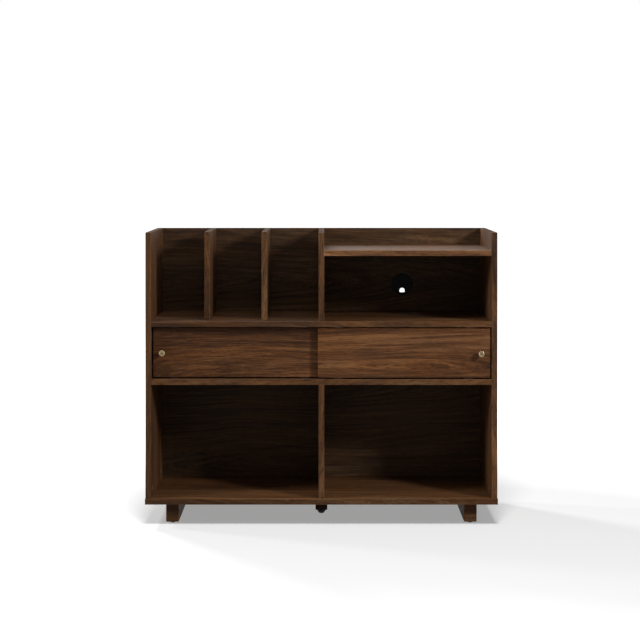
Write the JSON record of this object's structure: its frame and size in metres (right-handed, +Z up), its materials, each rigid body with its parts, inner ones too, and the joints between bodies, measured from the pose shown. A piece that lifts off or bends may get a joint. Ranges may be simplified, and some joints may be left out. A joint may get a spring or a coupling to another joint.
{
  "type": "record cabinet",
  "caption": "Low walnut record cabinet with open LP bays, a record browser, an open bay under a tray top and two bypass sliding doors on sled runners.",
  "frame": {"origin": "on the floor under the middle of the bottom panel, at the sole of the centre leg's levelling foot", "axes": "+X to the right seen from the front, +Y from the front to the back, +Z up"},
  "size_m": [1.014, 0.4115, 0.843],
  "materials": {
    "walnut": "satin lacquered walnut veneer",
    "back_sheet": "walnut foil on thin board",
    "beech": "plain",
    "brass": "brushed antique brass",
    "zinc": "bare die-cast zinc",
    "steel": "zinc plated",
    "dark_steel": "bronzed",
    "track_plastic": "dark brown extrusion",
    "slide_plastic": "dark brown acetal",
    "black_plastic": "fine grained",
    "foot_plastic": "hard dark brown",
    "bumper": "soft dark brown"
  },
  "bodies": {
    "cabinet": {"bottom_panel": "walnut", "left_side_panel": "walnut", "right_side_panel": "walnut", "lower_shelf": "walnut", "mid_shelf": "walnut", "tray_shelf": "walnut", "lower_divider": "walnut", "door_bay_divider": "walnut", "upper_divider": "walnut", "bin_divider_left": "walnut", "bin_divider_right": "walnut", "upper_back_panel": "walnut", "lower_back_sheet_left": "back_sheet", "lower_back_sheet_right": "back_sheet", "front_lower_track": "track_plastic", "rear_lower_track": "track_plastic", "front_upper_track": "track_plastic", "rear_upper_track": "track_plastic", "door_bumpers": "bumper", "left_runner": "walnut", "right_runner": "walnut", "runner_feet": "foot_plastic", "runner_screws": "steel", "centre_leg": "walnut", "centre_leg_stud": "steel", "leveller_insert": "steel", "cam_locks": "zinc", "cam_bolts": "steel", "dowels": "beech", "divider_screws": "dark_steel", "back_sheet_screws": "dark_steel", "cable_grommet": "black_plastic"},
    "front_door": {"front_door": "walnut", "front_door_knob": "brass", "front_door_knob_screw": "steel", "front_door_glides": "slide_plastic", "front_door_guides": "slide_plastic", "front_door_shoe_screws": "steel"},
    "rear_door": {"rear_door": "walnut", "rear_door_knob": "brass", "rear_door_knob_screw": "steel", "rear_door_glides": "slide_plastic", "rear_door_guides": "slide_plastic", "rear_door_shoe_screws": "steel"},
    "levelling_foot": {"leveller_stem": "steel", "leveller_pad": "black_plastic"},
    "cable_cover": {"grommet_cap": "black_plastic"}
  },
  "joints": [
    {"name": "front_door_slide", "type": "slide", "parent": "cabinet", "child": "front_door", "axis": [-1, 0, 0], "range_m": [0, 0.22]},
    {"name": "rear_door_slide", "type": "slide", "parent": "cabinet", "child": "rear_door", "axis": [1, 0, 0], "range_m": [0, 0.22]},
    {"name": "levelling_foot_height", "type": "slide", "parent": "cabinet", "child": "levelling_foot", "axis": [0, 0, 1], "range_m": [-0.009, 0.0007]},
    {"name": "cable_cover_turn", "type": "hinge", "parent": "cabinet", "child": "cable_cover", "pos_m": [0.249, 0.184, 0.67], "axis": [0, 1, 0], "continuous": true}
  ]
}
